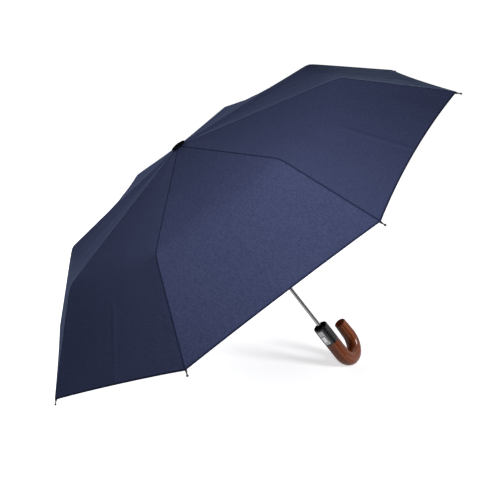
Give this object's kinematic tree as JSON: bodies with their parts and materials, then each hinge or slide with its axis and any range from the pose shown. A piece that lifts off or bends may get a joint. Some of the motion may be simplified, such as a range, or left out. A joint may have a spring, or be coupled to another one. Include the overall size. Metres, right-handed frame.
{
  "type": "folding umbrella",
  "caption": "Automatic folding umbrella with a navy canopy on jointed steel ribs, a telescopic shaft, a push-button collar and a wooden crook handle",
  "frame": {"origin": "middle of the straight wooden barrel of the crook handle, on the shaft's axis, where the hand closes on it", "axes": "+Z along the shaft to the crown, +X from the shaft to the crook's free arm, so that the push button faces -X; the crook lies in the XZ plane"},
  "size_m": [0.9646, 0.9646, 0.6049],
  "materials": {
    "wood": "stained reddish brown, glossy varnish",
    "black_plastic": "glossy black moulding with fine flutes",
    "cap_plastic": "black moulding, soft gloss",
    "nylon": "black nylon moulding",
    "chrome": "bright chrome plating",
    "tube_steel": "plated steel tube",
    "spring_steel": "drawn wire",
    "rib_steel": "black coated folded steel",
    "rod_black": "black coated rod with a moulded tip",
    "canopy_fabric": "navy plain-weave pongee, water repellent"
  },
  "bodies": {
    "handle": {"crook_handle": "wood", "collar": "black_plastic", "button_bezel": "chrome", "button_spring": "spring_steel", "lower_tube": "tube_steel", "lower_tube_bush": "nylon"},
    "push_button": {"push_button": "chrome"},
    "middle_shaft": {"middle_tube": "tube_steel", "middle_tube_bush": "nylon"},
    "upper_shaft": {"upper_tube": "tube_steel", "crown": "nylon", "crown_ring_wire": "spring_steel", "crown_cap": "cap_plastic", "canopy_panel_1": "canopy_fabric", "canopy_panel_2": "canopy_fabric", "canopy_panel_3": "canopy_fabric", "canopy_panel_4": "canopy_fabric", "canopy_panel_5": "canopy_fabric", "canopy_panel_6": "canopy_fabric", "canopy_panel_7": "canopy_fabric", "canopy_panel_8": "canopy_fabric"},
    "runner": {"runner": "nylon"},
    "top_rib_1": {"top_rib_1": "rib_steel"},
    "stretcher_1": {"stretcher_1": "rib_steel"},
    "middle_rib_1": {"middle_rib_1": "rib_steel"},
    "outer_rib_1": {"outer_rib_1": "rod_black"},
    "top_rib_2": {"top_rib_2": "rib_steel"},
    "stretcher_2": {"stretcher_2": "rib_steel"},
    "middle_rib_2": {"middle_rib_2": "rib_steel"},
    "outer_rib_2": {"outer_rib_2": "rod_black"},
    "top_rib_3": {"top_rib_3": "rib_steel"},
    "stretcher_3": {"stretcher_3": "rib_steel"},
    "middle_rib_3": {"middle_rib_3": "rib_steel"},
    "outer_rib_3": {"outer_rib_3": "rod_black"},
    "top_rib_4": {"top_rib_4": "rib_steel"},
    "stretcher_4": {"stretcher_4": "rib_steel"},
    "middle_rib_4": {"middle_rib_4": "rib_steel"},
    "outer_rib_4": {"outer_rib_4": "rod_black"},
    "top_rib_5": {"top_rib_5": "rib_steel"},
    "stretcher_5": {"stretcher_5": "rib_steel"},
    "middle_rib_5": {"middle_rib_5": "rib_steel"},
    "outer_rib_5": {"outer_rib_5": "rod_black"},
    "top_rib_6": {"top_rib_6": "rib_steel"},
    "stretcher_6": {"stretcher_6": "rib_steel"},
    "middle_rib_6": {"middle_rib_6": "rib_steel"},
    "outer_rib_6": {"outer_rib_6": "rod_black"},
    "top_rib_7": {"top_rib_7": "rib_steel"},
    "stretcher_7": {"stretcher_7": "rib_steel"},
    "middle_rib_7": {"middle_rib_7": "rib_steel"},
    "outer_rib_7": {"outer_rib_7": "rod_black"},
    "top_rib_8": {"top_rib_8": "rib_steel"},
    "stretcher_8": {"stretcher_8": "rib_steel"},
    "middle_rib_8": {"middle_rib_8": "rib_steel"},
    "outer_rib_8": {"outer_rib_8": "rod_black"}
  },
  "joints": [
    {"name": "button_press", "type": "slide", "parent": "handle", "child": "push_button", "axis": [1, 0, 0], "range_m": [0, 0.002], "stiffness_N_per_m": 600, "springref_m": -0.001, "deforming": ["button_spring"]},
    {"name": "shaft_collapse", "type": "slide", "parent": "handle", "child": "middle_shaft", "axis": [0, 0, -1], "range_m": [0, 0.122]},
    {"name": "upper_collapse", "type": "slide", "parent": "middle_shaft", "child": "upper_shaft", "axis": [0, 0, -1], "range_m": [0, 0.122]},
    {"name": "canopy_fold", "type": "hinge", "parent": "upper_shaft", "child": "top_rib_1", "pos_m": [0.01227, 0.00238, 0.525], "axis": [-0.1908, 0.9816, 0], "range_deg": [0, 81.72], "deforming": ["canopy_panel_1", "canopy_panel_2", "canopy_panel_3", "canopy_panel_4", "canopy_panel_5", "canopy_panel_6", "canopy_panel_7", "canopy_panel_8"]},
    {"name": "stretcher_fold_1", "type": "hinge", "parent": "top_rib_1", "child": "stretcher_1", "pos_m": [0.0945, 0.01837, 0.51038], "axis": [0.1908, -0.9816, 0], "range_deg": [0, 141.23]},
    {"name": "middle_rib_fold_1", "type": "hinge", "parent": "top_rib_1", "child": "middle_rib_1", "pos_m": [0.16776, 0.03261, 0.50195], "axis": [0.1908, -0.9816, 0], "range_deg": [0, 180]},
    {"name": "outer_rib_fold_1", "type": "hinge", "parent": "middle_rib_1", "child": "outer_rib_1", "pos_m": [0.3226, 0.06271, 0.47435], "axis": [-0.1908, 0.9816, 0], "range_deg": [0, 148.08]},
    {"name": "top_rib_fold_2", "type": "hinge", "parent": "upper_shaft", "child": "top_rib_2", "pos_m": [0.00699, 0.01036, 0.525], "axis": [-0.829, 0.5592, 0], "range_deg": [0, 81.72]},
    {"name": "stretcher_fold_2", "type": "hinge", "parent": "top_rib_2", "child": "stretcher_2", "pos_m": [0.05383, 0.07981, 0.51038], "axis": [0.829, -0.5592, 0], "range_deg": [0, 141.23]},
    {"name": "middle_rib_fold_2", "type": "hinge", "parent": "top_rib_2", "child": "middle_rib_2", "pos_m": [0.09557, 0.14168, 0.50195], "axis": [0.829, -0.5592, 0], "range_deg": [0, 180]},
    {"name": "outer_rib_fold_2", "type": "hinge", "parent": "middle_rib_2", "child": "outer_rib_2", "pos_m": [0.18377, 0.27245, 0.47435], "axis": [-0.829, 0.5592, 0], "range_deg": [0, 148.08]},
    {"name": "top_rib_fold_3", "type": "hinge", "parent": "upper_shaft", "child": "top_rib_3", "pos_m": [-0.00238, 0.01227, 0.525], "axis": [-0.9816, -0.1908, 0], "range_deg": [0, 81.72]},
    {"name": "stretcher_fold_3", "type": "hinge", "parent": "top_rib_3", "child": "stretcher_3", "pos_m": [-0.01837, 0.0945, 0.51038], "axis": [0.9816, 0.1908, 0], "range_deg": [0, 141.23]},
    {"name": "middle_rib_fold_3", "type": "hinge", "parent": "top_rib_3", "child": "middle_rib_3", "pos_m": [-0.03261, 0.16776, 0.50195], "axis": [0.9816, 0.1908, 0], "range_deg": [0, 180]},
    {"name": "outer_rib_fold_3", "type": "hinge", "parent": "middle_rib_3", "child": "outer_rib_3", "pos_m": [-0.06271, 0.3226, 0.47435], "axis": [-0.9816, -0.1908, 0], "range_deg": [0, 148.08]},
    {"name": "top_rib_fold_4", "type": "hinge", "parent": "upper_shaft", "child": "top_rib_4", "pos_m": [-0.01036, 0.00699, 0.525], "axis": [-0.5592, -0.829, 0], "range_deg": [0, 81.72]},
    {"name": "stretcher_fold_4", "type": "hinge", "parent": "top_rib_4", "child": "stretcher_4", "pos_m": [-0.07981, 0.05383, 0.51038], "axis": [0.5592, 0.829, 0], "range_deg": [0, 141.23]},
    {"name": "middle_rib_fold_4", "type": "hinge", "parent": "top_rib_4", "child": "middle_rib_4", "pos_m": [-0.14168, 0.09557, 0.50195], "axis": [0.5592, 0.829, 0], "range_deg": [0, 180]},
    {"name": "outer_rib_fold_4", "type": "hinge", "parent": "middle_rib_4", "child": "outer_rib_4", "pos_m": [-0.27245, 0.18377, 0.47435], "axis": [-0.5592, -0.829, 0], "range_deg": [0, 148.08]},
    {"name": "top_rib_fold_5", "type": "hinge", "parent": "upper_shaft", "child": "top_rib_5", "pos_m": [-0.01227, -0.00238, 0.525], "axis": [0.1908, -0.9816, 0], "range_deg": [0, 81.72]},
    {"name": "stretcher_fold_5", "type": "hinge", "parent": "top_rib_5", "child": "stretcher_5", "pos_m": [-0.0945, -0.01837, 0.51038], "axis": [-0.1908, 0.9816, 0], "range_deg": [0, 141.23]},
    {"name": "middle_rib_fold_5", "type": "hinge", "parent": "top_rib_5", "child": "middle_rib_5", "pos_m": [-0.16776, -0.03261, 0.50195], "axis": [-0.1908, 0.9816, 0], "range_deg": [0, 180]},
    {"name": "outer_rib_fold_5", "type": "hinge", "parent": "middle_rib_5", "child": "outer_rib_5", "pos_m": [-0.3226, -0.06271, 0.47435], "axis": [0.1908, -0.9816, 0], "range_deg": [0, 148.08]},
    {"name": "top_rib_fold_6", "type": "hinge", "parent": "upper_shaft", "child": "top_rib_6", "pos_m": [-0.00699, -0.01036, 0.525], "axis": [0.829, -0.5592, 0], "range_deg": [0, 81.72]},
    {"name": "stretcher_fold_6", "type": "hinge", "parent": "top_rib_6", "child": "stretcher_6", "pos_m": [-0.05383, -0.07981, 0.51038], "axis": [-0.829, 0.5592, 0], "range_deg": [0, 141.23]},
    {"name": "middle_rib_fold_6", "type": "hinge", "parent": "top_rib_6", "child": "middle_rib_6", "pos_m": [-0.09557, -0.14168, 0.50195], "axis": [-0.829, 0.5592, 0], "range_deg": [0, 180]},
    {"name": "outer_rib_fold_6", "type": "hinge", "parent": "middle_rib_6", "child": "outer_rib_6", "pos_m": [-0.18377, -0.27245, 0.47435], "axis": [0.829, -0.5592, 0], "range_deg": [0, 148.08]},
    {"name": "top_rib_fold_7", "type": "hinge", "parent": "upper_shaft", "child": "top_rib_7", "pos_m": [0.00238, -0.01227, 0.525], "axis": [0.9816, 0.1908, 0], "range_deg": [0, 81.72]},
    {"name": "stretcher_fold_7", "type": "hinge", "parent": "top_rib_7", "child": "stretcher_7", "pos_m": [0.01837, -0.0945, 0.51038], "axis": [-0.9816, -0.1908, 0], "range_deg": [0, 141.23]},
    {"name": "middle_rib_fold_7", "type": "hinge", "parent": "top_rib_7", "child": "middle_rib_7", "pos_m": [0.03261, -0.16776, 0.50195], "axis": [-0.9816, -0.1908, 0], "range_deg": [0, 180]},
    {"name": "outer_rib_fold_7", "type": "hinge", "parent": "middle_rib_7", "child": "outer_rib_7", "pos_m": [0.06271, -0.3226, 0.47435], "axis": [0.9816, 0.1908, 0], "range_deg": [0, 148.08]},
    {"name": "top_rib_fold_8", "type": "hinge", "parent": "upper_shaft", "child": "top_rib_8", "pos_m": [0.01036, -0.00699, 0.525], "axis": [0.5592, 0.829, 0], "range_deg": [0, 81.72]},
    {"name": "stretcher_fold_8", "type": "hinge", "parent": "top_rib_8", "child": "stretcher_8", "pos_m": [0.07981, -0.05383, 0.51038], "axis": [-0.5592, -0.829, 0], "range_deg": [0, 141.23]},
    {"name": "middle_rib_fold_8", "type": "hinge", "parent": "top_rib_8", "child": "middle_rib_8", "pos_m": [0.14168, -0.09557, 0.50195], "axis": [-0.5592, -0.829, 0], "range_deg": [0, 180]},
    {"name": "outer_rib_fold_8", "type": "hinge", "parent": "middle_rib_8", "child": "outer_rib_8", "pos_m": [0.27245, -0.18377, 0.47435], "axis": [0.5592, 0.829, 0], "range_deg": [0, 148.08]},
    {"name": "runner_slide", "type": "slide", "parent": "upper_shaft", "child": "runner", "axis": [0, 0, -1], "range_m": [0, 0.11964]}
  ],
  "couplings": [
    {"joint": "upper_collapse", "follows": "shaft_collapse", "ratio": 1},
    {"joint": "stretcher_fold_1", "follows": "canopy_fold", "ratio": 1.7282},
    {"joint": "middle_rib_fold_1", "follows": "canopy_fold", "ratio": 2.2026},
    {"joint": "outer_rib_fold_1", "follows": "canopy_fold", "ratio": 1.812},
    {"joint": "top_rib_fold_2", "follows": "canopy_fold", "ratio": 1},
    {"joint": "stretcher_fold_2", "follows": "canopy_fold", "ratio": 1.7282},
    {"joint": "middle_rib_fold_2", "follows": "canopy_fold", "ratio": 2.2026},
    {"joint": "outer_rib_fold_2", "follows": "canopy_fold", "ratio": 1.812},
    {"joint": "top_rib_fold_3", "follows": "canopy_fold", "ratio": 1},
    {"joint": "stretcher_fold_3", "follows": "canopy_fold", "ratio": 1.7282},
    {"joint": "middle_rib_fold_3", "follows": "canopy_fold", "ratio": 2.2026},
    {"joint": "outer_rib_fold_3", "follows": "canopy_fold", "ratio": 1.812},
    {"joint": "top_rib_fold_4", "follows": "canopy_fold", "ratio": 1},
    {"joint": "stretcher_fold_4", "follows": "canopy_fold", "ratio": 1.7282},
    {"joint": "middle_rib_fold_4", "follows": "canopy_fold", "ratio": 2.2026},
    {"joint": "outer_rib_fold_4", "follows": "canopy_fold", "ratio": 1.812},
    {"joint": "top_rib_fold_5", "follows": "canopy_fold", "ratio": 1},
    {"joint": "stretcher_fold_5", "follows": "canopy_fold", "ratio": 1.7282},
    {"joint": "middle_rib_fold_5", "follows": "canopy_fold", "ratio": 2.2026},
    {"joint": "outer_rib_fold_5", "follows": "canopy_fold", "ratio": 1.812},
    {"joint": "top_rib_fold_6", "follows": "canopy_fold", "ratio": 1},
    {"joint": "stretcher_fold_6", "follows": "canopy_fold", "ratio": 1.7282},
    {"joint": "middle_rib_fold_6", "follows": "canopy_fold", "ratio": 2.2026},
    {"joint": "outer_rib_fold_6", "follows": "canopy_fold", "ratio": 1.812},
    {"joint": "top_rib_fold_7", "follows": "canopy_fold", "ratio": 1},
    {"joint": "stretcher_fold_7", "follows": "canopy_fold", "ratio": 1.7282},
    {"joint": "middle_rib_fold_7", "follows": "canopy_fold", "ratio": 2.2026},
    {"joint": "outer_rib_fold_7", "follows": "canopy_fold", "ratio": 1.812},
    {"joint": "top_rib_fold_8", "follows": "canopy_fold", "ratio": 1},
    {"joint": "stretcher_fold_8", "follows": "canopy_fold", "ratio": 1.7282},
    {"joint": "middle_rib_fold_8", "follows": "canopy_fold", "ratio": 2.2026},
    {"joint": "outer_rib_fold_8", "follows": "canopy_fold", "ratio": 1.812},
    {"joint": "runner_slide", "follows": "canopy_fold", "m_per_rad": 0.083882}
  ]
}
